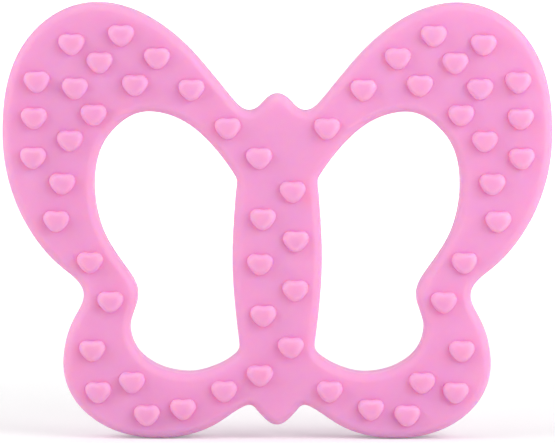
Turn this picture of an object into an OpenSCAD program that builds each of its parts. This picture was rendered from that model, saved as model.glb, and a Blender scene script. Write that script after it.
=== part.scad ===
// Butterfly teether for a baby, moulded from soft silicone.
// It stands on the tips of its lower wings and faces -Y. Outlines are drawn in the X-Z plane, as seen
// from the front, and the thickness runs along Y. The origin is on the ground, under the middle.

/* [Plate] */
// Wingspan across the upper wings
wingspan = 100; // [80:1:120]
// Thickness of the plate, without the hearts
thickness = 8; // [6:0.5:12]
// Radius that softens every edge of the plate
edge_radius = 1.8; // [1:0.1:2.2]

/* [Hearts] */
// Width of one heart
heart_width = 4.7; // [4:0.1:5]
// Height of a heart above the front face
heart_height = 1.5; // [1:0.1:1.8]
// Radius that softens the crown of a heart
crown_radius = 0.9; // [0.4:0.1:0.9]

/* [Smoothness] */
// Turn of the plate's outline that one flat takes up, in degrees
plate_turn = 8; // [6:1:20]
// Turn of a heart's outline that one flat takes up, in degrees
heart_turn = 24; // [10:1:30]
// Length of the longest flat on an outline
longest_flat = 3; // [2:0.5:8]
// Flats across the rounded edge of the plate
edge_flats = 3; // [2:1:6]
// Flats across the rounded crown of a heart
crown_flats = 2; // [1:1:4]

/* [Hidden] */

// Colour of the moulding
silicone = [0.95, 0.61, 0.81];

// The drawing below is for this wingspan, and grows or shrinks with the wingspan above.
drawn_wingspan = 100;
grow = wingspan / drawn_wingspan;
drawn_heart_width = 4.7;

// The plate and the hearts together are centred on Y = 0.
front_y = (heart_height - thickness) / 2;
back_y = (heart_height + thickness) / 2;

// A knot of an outline is [x, z, heading]. Headings are in degrees, 0 along +X and 90 along +Z, and an
// outline runs clockwise on the right half. Stretches start and end at the necks, which are square to
// both edges of the band, so that neighbouring pieces meet there face to face.
head_edge = [[0, 62.9, 0], [3.1, 60.9, -48], [5.1, 59.85, 0], [7.2, 60.9, 45]];
forewing_outer_edge = [[7.2, 60.9, 45], [9.8, 64, 50], [16.9, 72.1, 43], [32.8, 79.5, 0], [46.1, 71.9, -56],
    [50, 55.6, -90], [46.1, 39.8, -118], [39, 31, -141], [35.3, 26.2, -90]];
forewing_inner_edge = [[13.2, 54.9, 45], [23.4, 59.6, 0], [30.3, 55.7, -49], [33.2, 46.2, -90],
    [30.4, 35.4, -120], [28.1, 31.9, -125], [25.3, 26.2, -90]];
hindwing_outer_edge = [[35.3, 26.2, -90], [36.6, 22.6, -60], [39, 13.7, -90], [34.8, 4.6, -138],
    [21.6, 0, -180], [11.4, 2.4, -208], [6.05, 5.8, -206]];
hindwing_inner_edge = [[25.3, 26.2, -90], [26.1, 23, -72], [26.7, 20.4, -90], [24, 14.7, -141],
    [16, 12, -180], [9.9, 13.7, -206]];
spine_edge = [[9.9, 13.7, -206], [7.8, 15.1, -217], [6.9, 17.2, -277], [8.2, 33.2, -270],
    [7.4, 46.9, -266], [8, 48.4, -303], [13.2, 54.9, -315]];
tail_edge = [[6.05, 5.8, -206], [5, 6.1, -180], [3.2, 4.6, -135], [0, 2.5, -180]];

// Right half of a heart, about its own middle.
heart_edge = [[0, 1.85, 0], [1.1, 1.95, 0], [2.35, 0.65, -90], [1.6, -0.95, -129], [0, -1.9, -180]];

// Places of the hearts, as [x, z]. Those of the wings are for the right side.
forewing_hearts_at = [[28.3, 73.4], [37.3, 71.8], [21.8, 69.3], [32.2, 68.5], [43.6, 65], [25.8, 64.4],
    [36.7, 63.8], [15.6, 63.6], [33.3, 59], [44.1, 58.4], [37.6, 54.3], [44.3, 51.2], [39, 46.5],
    [40.1, 39.7], [34, 32.2]];
hindwing_hearts_at = [[30.3, 25], [33.6, 16.1], [26.4, 10.3], [9.6, 8.7], [32.5, 8.5], [17.1, 5.4],
    [23.7, 4.3]];
body_hearts_at = [[-9, 56.6], [9, 56.6], [-3.3, 51.2], [2.8, 45.1], [-2.6, 40.1], [3.4, 36.1],
    [-3.1, 31.9], [3.3, 27.1], [-2.5, 22.5], [2.5, 16.7], [-3.1, 11.6]];

function unit(angle) = [cos(angle), sin(angle)];
function reverse(list) = [for (i = [len(list) - 1:-1:0]) list[i]];

// Control points of the curve between two knots, which is an arc where the knots lie evenly.
function controls(from, to) =
    let (start = [from.x, from.y], end = [to.x, to.y],
        reach = norm(end - start) / 3 / pow(cos((to[2] - from[2]) / 4), 2))
    [start, start + reach * unit(from[2]), end - reach * unit(to[2]), end];
function curve_point(c, t) = pow(1 - t, 3) * c[0] + 3 * pow(1 - t, 2) * t * c[1]
    + 3 * (1 - t) * pow(t, 2) * c[2] + pow(t, 3) * c[3];
function curve_heading(c, t) =
    let (ahead = pow(1 - t, 2) * (c[1] - c[0]) + 2 * (1 - t) * t * (c[2] - c[1])
            + pow(t, 2) * (c[3] - c[2]))
    atan2(ahead.y, ahead.x);

function flats_between(from, to, turn_step) =
    ceil(max(abs(to[2] - from[2]) / turn_step, norm([to.x - from.x, to.y - from.y]) / longest_flat));

// Stations along a stretch, each [point, direction into the material]. The material is to the right of
// the heading where side is -1, and to its left where side is 1.
function stations(knots, side, turn_step) = [
    for (i = [0:len(knots) - 2])
        let (from = knots[i], to = knots[i + 1], curve = controls(from, to),
            flats = flats_between(from, to, turn_step),
            last = i == len(knots) - 2 ? flats : flats - 1)
        for (k = [0:last])
            let (t = k / flats)
            [curve_point(curve, t), unit(curve_heading(curve, t) + side * 90)]];

function grown(loop, factor) = [for (s = loop) [factor * s[0], s[1]]];
function flip(v) = [-v.x, v.y];
// Right half of a loop and its mirror image, which share the points at both ends.
function both_halves(half) = concat(half,
    [for (i = [len(half) - 2:-1:1]) [flip(half[i][0]), flip(half[i][1])]]);

function plate_stations(knots, side) = grown(stations(knots, side, plate_turn), grow);

// Each loop runs clockwise round its piece.
forewing_loop = concat(plate_stations(forewing_outer_edge, -1),
    reverse(plate_stations(forewing_inner_edge, 1)));
hindwing_loop = concat(plate_stations(hindwing_outer_edge, -1),
    reverse(plate_stations(hindwing_inner_edge, 1)));
body_loop = both_halves(concat(plate_stations(head_edge, -1), reverse(plate_stations(spine_edge, 1)),
    plate_stations(tail_edge, -1)));
heart_loop = grown(both_halves(stations(heart_edge, -1, heart_turn)), heart_width / drawn_heart_width);

// Rows of a moulding from front to back, each [inset from the outline, y].
function rounding(radius, flats) = [
    for (k = [0:flats]) radius * [1 - sin(90 * k / flats), 1 - cos(90 * k / flats)]];
plate_rows = concat(
    [for (r = rounding(edge_radius, edge_flats)) [r.x, front_y + r.y]],
    [for (r = reverse(rounding(edge_radius, edge_flats))) [r.x, back_y - r.y]]);
heart_rows = concat([for (r = rounding(crown_radius, crown_flats)) [r.x, r.y - heart_height]], [[0, 0]]);

// Ear clipping of a clockwise ring of indices into points, the ear with the shortest cut first.
function turn(a, b, c) = (b.x - a.x) * (c.y - a.y) - (b.y - a.y) * (c.x - a.x);
function covers(a, b, c, p) = turn(a, b, p) <= 0 && turn(b, c, p) <= 0 && turn(c, a, p) <= 0;
function neighbours(ring, i) =
    let (count = len(ring))
    [ring[(i + count - 1) % count], ring[i], ring[(i + 1) % count]];
function is_ear(points, ring, i) =
    let (n = neighbours(ring, i), a = points[n[0]], b = points[n[1]], c = points[n[2]])
    turn(a, b, c) < 0 && len([for (k = ring)
        if (k != n[0] && k != n[1] && k != n[2] && covers(a, b, c, points[k])) k]) == 0;
function shortest_ear(points, ring) =
    let (ears = [for (i = [0:len(ring) - 1])
            let (n = neighbours(ring, i))
            if (is_ear(points, ring, i)) [norm(points[n[2]] - points[n[0]]), i]],
        shortest = min([for (e = ears) e[0]]))
    [for (e = ears) if (e[0] == shortest) e[1]][0];
function triangles(points, ring) = len(ring) == 3 ? [ring] :
    let (i = shortest_ear(points, ring))
    concat([neighbours(ring, i)], triangles(points, [for (k = ring) if (k != ring[i]) k]));

// Solid between the first and the last row of a loop of stations. Both rows have the same triangles, so
// the back of a plate, whose last row has the inset of its first, is closed as its front is.
module moulded(loop, rows) {
    count = len(loop);
    last = len(rows) - 1;
    points = [for (row = rows, s = loop)
        let (p = s[0] + row.x * s[1])
        [p.x, row.y, p.y]];
    front = triangles([for (s = loop) s[0] + rows[0].x * s[1]], [for (i = [0:count - 1]) i]);
    back = [for (f = front) [for (i = reverse(f)) i + last * count]];
    walls = [for (r = [0:last - 1], i = [0:count - 1])
        let (j = (i + 1) % count, near = r * count, far = near + count)
        each [[near + i, far + i, far + j], [near + i, far + j, near + j]]];
    polyhedron(points = points, faces = concat(front, walls, back));
}

module hearts(places) {
    for (at = places)
        translate([grow * at.x, front_y, grow * at.y]) moulded(heart_loop, heart_rows);
}

module forewing() moulded(forewing_loop, plate_rows);
module hindwing() moulded(hindwing_loop, plate_rows);

module body() color(silicone) moulded(body_loop, plate_rows);
module left_forewing() color(silicone) mirror([1, 0, 0]) forewing();
module right_forewing() color(silicone) forewing();
module left_hindwing() color(silicone) mirror([1, 0, 0]) hindwing();
module right_hindwing() color(silicone) hindwing();
module body_hearts() color(silicone) hearts(body_hearts_at);
module left_forewing_hearts() color(silicone) mirror([1, 0, 0]) hearts(forewing_hearts_at);
module right_forewing_hearts() color(silicone) hearts(forewing_hearts_at);
module left_hindwing_hearts() color(silicone) mirror([1, 0, 0]) hearts(hindwing_hearts_at);
module right_hindwing_hearts() color(silicone) hearts(hindwing_hearts_at);

body();
left_forewing();
right_forewing();
left_hindwing();
right_hindwing();
body_hearts();
left_forewing_hearts();
right_forewing_hearts();
left_hindwing_hearts();
right_hindwing_hearts();
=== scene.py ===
"""Looks of a butterfly teether that is moulded from soft pink silicone.

The CAD frame holds the plate and the hearts as flat-sided solids, split at the necks. This script reads
their outlines from the frame and draws one smooth skin over all of them, as the real teether is one
moulding. It faces -Y, and lengths are in metres.
"""

import math

import bpy
import numpy as np
from mathutils import Matrix, Vector
from mathutils.geometry import delaunay_2d_cdt


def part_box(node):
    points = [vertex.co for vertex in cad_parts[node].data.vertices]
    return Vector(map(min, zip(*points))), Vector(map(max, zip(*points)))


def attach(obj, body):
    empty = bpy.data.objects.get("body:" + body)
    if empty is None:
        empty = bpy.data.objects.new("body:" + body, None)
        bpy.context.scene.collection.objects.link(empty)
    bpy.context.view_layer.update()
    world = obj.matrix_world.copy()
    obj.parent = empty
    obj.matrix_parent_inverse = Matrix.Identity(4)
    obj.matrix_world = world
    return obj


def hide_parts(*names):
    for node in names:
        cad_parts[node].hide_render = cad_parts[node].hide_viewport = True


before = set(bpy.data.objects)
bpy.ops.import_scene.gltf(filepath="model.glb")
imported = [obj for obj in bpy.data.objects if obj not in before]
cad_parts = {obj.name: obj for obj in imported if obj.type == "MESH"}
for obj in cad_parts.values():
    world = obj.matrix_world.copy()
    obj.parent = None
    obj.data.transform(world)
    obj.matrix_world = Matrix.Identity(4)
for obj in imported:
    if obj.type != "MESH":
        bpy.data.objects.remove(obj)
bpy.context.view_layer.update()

MM = 0.001
QUARTER_TURN = math.radians(90)
BACKWARDS = (0, 1, 0)
UPWARDS = (0, 0, 1)
WHITE = (1, 1, 1, 1)

PLATES = ("body", "left_forewing", "right_forewing", "left_hindwing", "right_hindwing")
HEARTS = ("body_hearts", "left_forewing_hearts", "right_forewing_hearts",
          "left_hindwing_hearts", "right_hindwing_hearts")

# Digits that the frame's points are rounded to, so that neighbouring nodes have the same points.
PLACE_DIGITS = 5
DEPTH_DIGITS = 6

# Spacing of the points along the outlines: the longest step, and the turn that takes one more point.
PLATE_STEP = 0.8 * MM
PLATE_TURN = math.radians(6)
HEART_STEP = 0.35 * MM
HEART_TURN = math.radians(14)
# Samples of the smooth curve from one point of the frame to the next.
CURVE_SAMPLES = 24

# Edge of the plate. Its radius is a share of the depth that the frame's rounding takes up.
EDGE_SHARE = 0.9
EDGE_BANDS = 10
DRAFT = 0.06 * MM
PARTING_RISE = 0.05 * MM
PARTING_WIDTH = 0.3 * MM

# Hearts. The dish lowers the top by a share of the height, within a share of the way to the outline.
BASE_FILLET = 0.08 * MM
BASE_BANDS = 4
CROWN_POWER = 4
CROWN_BANDS = 12
DISH = 0.06
DISH_SPREAD = 0.9

# Width of a flat strip beside every rounding, which keeps the shading of the flats even.
GUARD = 0.02 * MM

# Silicone: two shades of pink with the values of the noise that they stand at, the range of roughness, the
# depth of the grain, and how far light wanders in it, with the shares for red, green and blue.
SHADES = ((0.84, 0.34, 0.64, 1), (0.86, 0.36, 0.665, 1))
SHADE_SPAN = (0.3, 0.7)
ROUGHNESS = (0.42, 0.56)
GRAIN_DEPTH = 0.02 * MM
SCATTER_REACH = 8 * MM
SCATTER_SHARES = (1, 0.075, 0.07)

# View of the photograph: the width and the middle of what it shows at the front face.
VIEW_WIDTH = 100.7 * MM
VIEW_MIDDLE = (0.05 * MM, 39.8 * MM)
VIEW_ELEVATION = math.radians(4.3)
VIEW_ROLL = math.radians(0.08)
VIEW_DISTANCE = 0.9
# Width of the camera's sensor in millimetres, as its lens is.
SENSOR_WIDTH = 36

# Light of the world: its strength from below and from above, and the share of it from front and back.
WORLD_STRENGTHS = (0.35, 0.95)
WORLD_FRONT_SHARE = 0.15

# Soft round lamps, each with the way towards it and its power in watts.
LAMP_DISTANCE = 0.5
LAMP_SIZE = 0.4
LAMPS = {
    "right": ((0.74, -0.56, 0.4), 1.6),
    "left": ((-0.86, -0.33, 0.4), 1.15),
    "back": ((0, 0.97, 0.25), 0.5),
}

# Floor. To the eye it glows a little near the teether, where its shadow falls, and is white far away.
FLOOR_HALF = 3
FLOOR_GREY = 0.8
FLOOR_GLOW = (0.25, 1)
FLOOR_GLOW_REACH = (0.1, 0.6)


# Outlines, read from the frame

def levels(node):
    """Depths at which a node has rows of points, from front to back."""
    return sorted({round(v.co.y, DEPTH_DIGITS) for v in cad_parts[node].data.vertices})


def plate_depths():
    """Depths of the plate's front, of the front end of its side wall, and of its back."""
    rows = levels(PLATES[0])
    return rows[0], rows[len(rows) // 2 - 1], rows[-1]


def row_edges(node, level):
    """Edges of a node that run along its row of points at one depth, each a pair of (x, z)."""
    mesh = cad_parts[node].data
    ends = [(round(v.co.x, PLACE_DIGITS), round(v.co.z, PLACE_DIGITS)) for v in mesh.vertices]
    depths = [round(v.co.y, DEPTH_DIGITS) for v in mesh.vertices]
    return {frozenset((ends[a], ends[b])) for a, b in (edge.vertices for edge in mesh.edges)
            if depths[a] == depths[b] == level and ends[a] != ends[b]}


def closed_loops(edges):
    """Chains edges into closed loops, each an array of points."""
    neighbours = {}
    for a, b in map(sorted, edges):
        neighbours.setdefault(a, []).append(b)
        neighbours.setdefault(b, []).append(a)
    loops = []
    while neighbours:
        point = min(neighbours)
        loop = []
        while point in neighbours:
            loop.append(point)
            following = neighbours.pop(point)
            point = next((p for p in following if p in neighbours), None)
        loops.append(np.array(loop))
    return loops


def area(loop):
    """Area inside a loop, above zero where it runs anticlockwise as seen from the front."""
    x, z = loop.T
    return (x @ np.roll(z, -1) - z @ np.roll(x, -1)) / 2


def plate_loops():
    """The plate's outer outline and the outlines of its openings, with the material on their left."""
    wall = plate_depths()[1]
    every_edge = [row_edges(node, wall) for node in PLATES]
    outline = {edge for edges in every_edge for edge in edges
               if sum(edge in others for others in every_edge) == 1}
    loops = sorted(closed_loops(outline), key=lambda loop: -abs(area(loop)))
    outer = loops[0] if area(loops[0]) > 0 else loops[0][::-1]
    return [outer] + [loop if area(loop) < 0 else loop[::-1] for loop in loops[1:]]


def heart_loops():
    """Outlines of all the hearts, anticlockwise, from the row of points next to their bases."""
    edges = set()
    for node in HEARTS:
        edges |= row_edges(node, levels(node)[-2])
    return [loop if area(loop) > 0 else loop[::-1] for loop in closed_loops(edges)]


def smooth(loop, step, turn):
    """Points along the smooth closed curve through a loop, closer where it bends, and its left there."""
    ahead = np.roll(loop, -1, axis=0)
    chord = np.linalg.norm(ahead - loop, axis=1)[:, None]
    slope = (ahead - loop) / chord
    chord_before = np.roll(chord, 1, axis=0)
    slope_before = np.roll(slope, 1, axis=0)
    tangent = (slope * chord_before + slope_before * chord) / (chord + chord_before)
    leave = tangent * chord
    arrive = np.roll(tangent, -1, axis=0) * chord
    pieces = []
    for t in np.linspace(0, 1, CURVE_SAMPLES, endpoint=False):
        pieces.append(loop * (1 + 2 * t) * (1 - t) ** 2 + leave * t * (1 - t) ** 2
                      + ahead * t * t * (3 - 2 * t) - arrive * t * t * (1 - t))
    fine = np.stack(pieces, axis=1).reshape(-1, 2)

    moves = np.roll(fine, -1, axis=0) - fine
    heading = np.unwrap(np.arctan2(moves[:, 1], moves[:, 0]))
    full_turns = round((heading[-1] - heading[0]) / math.tau)
    bend = np.abs(np.diff(heading, append=heading[0] + full_turns * math.tau))
    progress = np.concatenate(([0], np.cumsum(np.linalg.norm(moves, axis=1) / step + bend / turn)))
    count = math.ceil(progress[-1])
    places = np.linspace(0, progress[-1], count, endpoint=False)
    closed = np.vstack((fine, fine[:1]))
    points = np.stack([np.interp(places, progress, closed[:, axis]) for axis in (0, 1)], axis=1)
    along = np.roll(points, -1, axis=0) - np.roll(points, 1, axis=0)
    along /= np.linalg.norm(along, axis=1)[:, None]
    return points, np.stack((-along[:, 1], along[:, 0]), axis=1)


# Skin of the moulding

class Skin:
    """Points and faces of one closed surface."""

    def __init__(self):
        self.points = []
        self.faces = []

    def ring(self, outline, depth):
        """Adds a closed row of points at one depth, and returns their numbers."""
        first = len(self.points)
        self.points.extend((x, depth, z) for x, z in outline)
        return list(range(first, len(self.points)))

    def band(self, ring, next_ring):
        """Joins two rows of points, the second in front of the first or inside it."""
        for i, a in enumerate(ring):
            j = (i + 1) % len(ring)
            self.faces.append((a, ring[j], next_ring[j], next_ring[i]))

    def bands(self, rings):
        """Joins each row of points to the next."""
        for ring, next_ring in zip(rings, rings[1:]):
            self.band(ring, next_ring)

    def fan(self, ring, middle):
        """Closes a row of points towards one point in its middle."""
        self.points.append(middle)
        for i, a in enumerate(ring):
            self.faces.append((a, ring[(i + 1) % len(ring)], len(self.points) - 1))

    def flat(self, rings, faces_front):
        """Fills the flat inside the first row of points and outside the others."""
        numbers = np.concatenate(rings)
        places = np.array([(self.points[n][0] / MM, self.points[n][2] / MM) for n in numbers])
        edges = []
        for ring in rings:
            first = len(edges)
            edges.extend((first + i, first + (i + 1) % len(ring)) for i in range(len(ring)))
        whole_hull = 0
        merge_within = 1e-6
        corners, _, triangles, sources, _, _ = delaunay_2d_cdt(
            [Vector(place) for place in places], edges, [], whole_hull, merge_within)
        corners = np.array(corners)
        middles = corners[np.array(triangles)].mean(axis=1)
        starts, ends = places[np.array(edges).T]
        # A triangle is kept where a line from its middle to the right crosses an odd number of edges.
        for triangle, middle in zip(triangles, middles):
            spanning = (starts[:, 1] > middle[1]) != (ends[:, 1] > middle[1])
            a, b = starts[spanning], ends[spanning]
            crossing = a[:, 0] + (middle[1] - a[:, 1]) * (b[:, 0] - a[:, 0]) / (b[:, 1] - a[:, 1])
            if np.count_nonzero(crossing > middle[0]) % 2:
                face = [int(numbers[sources[corner][0]]) for corner in triangle]
                self.faces.append(face if faces_front else face[::-1])


def plate_rows(front, back, radius):
    """Rows of the plate's edge from back to front, each (inset from the outline, depth)."""
    angles = [QUARTER_TURN * k / EDGE_BANDS for k in range(EDGE_BANDS + 1)]
    rounding = [(DRAFT + radius * (1 - math.sin(a)), radius * (1 - math.cos(a))) for a in angles]
    # The parting line is a low ridge, and its top is a third of its width.
    middle = (front + back) / 2
    half = PARTING_WIDTH / 2
    parting = [(PARTING_RISE, middle + half), (0, middle + half / 3),
               (0, middle - half / 3), (PARTING_RISE, middle - half)]
    flat = DRAFT + radius + GUARD
    return ([(flat, back)] + [(inset, back - depth) for inset, depth in rounding] + parting
            + [(inset, front + depth) for inset, depth in reversed(rounding)] + [(flat, front)])


def add_plate(skin):
    """Adds the plate's edge round every outline, and its back. Returns the rows that bound the front."""
    front, wall, back = plate_depths()
    rows = plate_rows(front, back, EDGE_SHARE * (wall - front))
    front_rings = []
    back_rings = []
    for loop in plate_loops():
        points, inward = smooth(loop, PLATE_STEP, PLATE_TURN)
        rings = [skin.ring(points + inset * inward, depth) for inset, depth in rows]
        skin.bands(rings)
        back_rings.append(rings[0])
        front_rings.append(rings[-1])
    skin.flat(back_rings, faces_front=False)
    return front_rings


def crown(spread):
    """Height of a heart, as a share of the whole, at a share of the way from its middle to its outline."""
    dish = max(0, 1 - (spread / DISH_SPREAD) ** 2) ** 2
    return math.sqrt(1 - spread ** CROWN_POWER) - DISH * dish


def add_heart(skin, loop, base, top):
    """Adds a pillow-shaped heart between the front face and its top. Returns the row that bounds it."""
    points, inward = smooth(loop, HEART_STEP, HEART_TURN)
    middle = points.mean(axis=0)
    foot = base - BASE_FILLET
    rings = [skin.ring(points - (BASE_FILLET + GUARD) * inward, base)]
    for k in range(BASE_BANDS):
        angle = QUARTER_TURN * k / BASE_BANDS
        outset = BASE_FILLET * (1 - math.sin(angle))
        rise = BASE_FILLET * (1 - math.cos(angle))
        rings.append(skin.ring(points - outset * inward, base - rise))
    for k in range(CROWN_BANDS):
        spread = math.cos(QUARTER_TURN * k / CROWN_BANDS)
        depth = foot - (foot - top) * crown(spread)
        rings.append(skin.ring(middle + (points - middle) * spread, depth))
    skin.bands(rings)
    skin.fan(rings[-1], (middle[0], foot - (foot - top) * crown(0), middle[1]))
    return rings[0]


def build_moulding():
    """Makes the whole moulding as one smooth mesh."""
    skin = Skin()
    front_rings = add_plate(skin)
    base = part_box("body")[0].y
    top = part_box("body_hearts")[0].y
    for loop in heart_loops():
        front_rings.append(add_heart(skin, loop, base, top))
    skin.flat(front_rings, faces_front=True)
    mesh = bpy.data.meshes.new("butterfly_moulding")
    mesh.from_pydata(skin.points, [], skin.faces)
    mesh.validate()
    mesh.shade_smooth()
    moulding = bpy.data.objects.new("butterfly_moulding", mesh)
    bpy.context.scene.collection.objects.link(moulding)
    mesh.materials.append(silicone_material())
    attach(moulding, "root")
    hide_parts(*PLATES, *HEARTS)


# Shader nodes

def noise(nodes, links, place, scale, detail):
    """Adds a noise texture with a scale per metre, and returns its value."""
    texture = nodes.new("ShaderNodeTexNoise")
    texture.inputs["Scale"].default_value = scale
    texture.inputs["Detail"].default_value = detail
    links.new(place, texture.inputs["Vector"])
    return texture.outputs["Fac"]


def joined(nodes, links, operation, first, second):
    """Joins two values by a product, a maximum or the like."""
    math_node = nodes.new("ShaderNodeMath")
    math_node.operation = operation
    links.new(first, math_node.inputs[0])
    links.new(second, math_node.inputs[1])
    return math_node.outputs["Value"]


def mapped(nodes, links, value, reach, results):
    """Maps a range of a value to a range of results, and what lies beyond it to the nearer end."""
    map_range = nodes.new("ShaderNodeMapRange")
    map_range.inputs["From Min"].default_value, map_range.inputs["From Max"].default_value = reach
    map_range.inputs["To Min"].default_value, map_range.inputs["To Max"].default_value = results
    links.new(value, map_range.inputs["Value"])
    return map_range.outputs["Result"]


def part_along(nodes, links, direction, axis):
    """How far a direction points along an axis."""
    dot = nodes.new("ShaderNodeVectorMath")
    dot.operation = "DOT_PRODUCT"
    dot.inputs[1].default_value = axis
    links.new(direction, dot.inputs[0])
    return dot.outputs["Value"]


# Materials

def silicone_material():
    """Translucent pink silicone with a satin skin."""
    material = bpy.data.materials.new("pink_silicone")
    material.use_nodes = True
    nodes, links = material.node_tree.nodes, material.node_tree.links
    shader = nodes["Principled BSDF"]
    place = nodes.new("ShaderNodeTexCoord").outputs["Object"]

    shades = nodes.new("ShaderNodeValToRGB")
    for element, position, shade in zip(shades.color_ramp.elements, SHADE_SPAN, SHADES):
        element.position = position
        element.color = shade
    links.new(noise(nodes, links, place, scale=90, detail=3), shades.inputs["Fac"])
    links.new(shades.outputs["Color"], shader.inputs["Base Color"])

    polish = noise(nodes, links, place, scale=400, detail=4)
    links.new(mapped(nodes, links, polish, (0, 1), ROUGHNESS), shader.inputs["Roughness"])

    grain = nodes.new("ShaderNodeBump")
    grain.inputs["Strength"].default_value = 0.15
    grain.inputs["Distance"].default_value = GRAIN_DEPTH
    links.new(noise(nodes, links, place, scale=4000, detail=2), grain.inputs["Height"])
    links.new(grain.outputs["Normal"], shader.inputs["Normal"])

    shader.inputs["IOR"].default_value = 1.41
    shader.inputs["Sheen Weight"].default_value = 0.05
    shader.inputs["Sheen Roughness"].default_value = 0.5
    shader.subsurface_method = "RANDOM_WALK_SKIN"
    shader.inputs["Subsurface Weight"].default_value = 1
    shader.inputs["Subsurface Radius"].default_value = SCATTER_SHARES
    shader.inputs["Subsurface Scale"].default_value = SCATTER_REACH
    return material


def floor_material():
    """Plain matt floor that is white to look at and keeps the shadow."""
    material = bpy.data.materials.new("white_floor")
    material.use_nodes = True
    nodes, links = material.node_tree.nodes, material.node_tree.links
    shader = nodes["Principled BSDF"]
    shader.inputs["Base Color"].default_value = (FLOOR_GREY, FLOOR_GREY, FLOOR_GREY, 1)
    shader.inputs["Roughness"].default_value = 1
    shader.inputs["Specular IOR Level"].default_value = 0
    shader.inputs["Emission Color"].default_value = WHITE

    path = nodes.new("ShaderNodeLightPath").outputs
    looked_at = joined(nodes, links, "MAXIMUM", path["Is Camera Ray"], path["Is Glossy Ray"])
    looked_at = joined(nodes, links, "MAXIMUM", looked_at, path["Is Transmission Ray"])
    distance = nodes.new("ShaderNodeVectorMath")
    distance.operation = "LENGTH"
    links.new(nodes.new("ShaderNodeTexCoord").outputs["Object"], distance.inputs[0])
    glow = mapped(nodes, links, distance.outputs["Value"], FLOOR_GLOW_REACH, FLOOR_GLOW)
    links.new(joined(nodes, links, "MULTIPLY", looked_at, glow), shader.inputs["Emission Strength"])
    return material


# Stage

def add_floor():
    """Adds the floor that the teether stands on."""
    mesh = bpy.data.meshes.new("floor")
    corners = [(-FLOOR_HALF, -FLOOR_HALF, 0), (FLOOR_HALF, -FLOOR_HALF, 0),
               (FLOOR_HALF, FLOOR_HALF, 0), (-FLOOR_HALF, FLOOR_HALF, 0)]
    mesh.from_pydata(corners, [], [(0, 1, 2, 3)])
    mesh.materials.append(floor_material())
    floor = bpy.data.objects.new("floor", mesh)
    bpy.context.scene.collection.objects.link(floor)


def set_world():
    """Sets a world that is white to look at.

    Its light comes more from above than from below, and little of it from the front and the back.
    Reflections show it white at the sides and dim in front and behind.
    """
    world = bpy.data.worlds.new("studio")
    bpy.context.scene.world = world
    world.use_nodes = True
    nodes, links = world.node_tree.nodes, world.node_tree.links
    direction = nodes.new("ShaderNodeTexCoord").outputs["Generated"]
    path = nodes.new("ShaderNodeLightPath").outputs
    both_ways = nodes.new("ShaderNodeVectorMath")
    both_ways.operation = "ABSOLUTE"
    links.new(direction, both_ways.inputs[0])
    lengthwise = part_along(nodes, links, both_ways.outputs["Vector"], BACKWARDS)
    sides = mapped(nodes, links, lengthwise, (0, 1), (1, WORLD_FRONT_SHARE))
    upright = part_along(nodes, links, direction, UPWARDS)
    strength = mapped(nodes, links, upright, (-1, 1), WORLD_STRENGTHS)

    light = nodes["Background"]
    light.inputs["Color"].default_value = WHITE
    links.new(joined(nodes, links, "MULTIPLY", sides, strength), light.inputs["Strength"])

    seen = nodes.new("ShaderNodeBackground")
    seen.inputs["Color"].default_value = WHITE
    through = joined(nodes, links, "MAXIMUM", path["Is Camera Ray"], path["Is Transmission Ray"])
    links.new(joined(nodes, links, "MAXIMUM", through, sides), seen.inputs["Strength"])

    choice = nodes.new("ShaderNodeMixShader")
    links.new(joined(nodes, links, "MAXIMUM", through, path["Is Glossy Ray"]), choice.inputs["Fac"])
    links.new(light.outputs["Background"], choice.inputs[1])
    links.new(seen.outputs["Background"], choice.inputs[2])
    links.new(choice.outputs["Shader"], nodes["World Output"].inputs["Surface"])


def add_lamp(name, toward, power):
    """Adds a soft round lamp that shines on the middle of the teether."""
    lamp = bpy.data.lights.new(name, "AREA")
    lamp.shape = "DISK"
    lamp.size = LAMP_SIZE
    lamp.energy = power
    holder = bpy.data.objects.new(name, lamp)
    toward = Vector(toward).normalized()
    holder.location = Vector((0, 0, VIEW_MIDDLE[1])) + LAMP_DISTANCE * toward
    holder.rotation_mode = "QUATERNION"
    holder.rotation_quaternion = toward.to_track_quat("Z", "Y")
    holder.visible_camera = False
    bpy.context.scene.collection.objects.link(holder)


def add_camera():
    """Adds the camera at the photograph's view."""
    data = bpy.data.cameras.new("camera")
    data.sensor_width = SENSOR_WIDTH
    data.lens = SENSOR_WIDTH * VIEW_DISTANCE / VIEW_WIDTH
    data.clip_start = VIEW_DISTANCE / 10
    camera = bpy.data.objects.new("camera", data)
    x, z = VIEW_MIDDLE
    target = Matrix.Translation((x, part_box("body")[0].y, z))
    tilt = Matrix.Rotation(QUARTER_TURN - VIEW_ELEVATION, 4, "X")
    roll = Matrix.Rotation(VIEW_ROLL, 4, "Z")
    camera.matrix_world = target @ tilt @ roll @ Matrix.Translation((0, 0, VIEW_DISTANCE))
    bpy.context.scene.collection.objects.link(camera)
    bpy.context.scene.camera = camera


build_moulding()
add_floor()
set_world()
for lamp_name, (lamp_toward, lamp_power) in LAMPS.items():
    add_lamp(lamp_name, lamp_toward, lamp_power)
add_camera()
bpy.context.scene.view_settings.view_transform = "Standard"
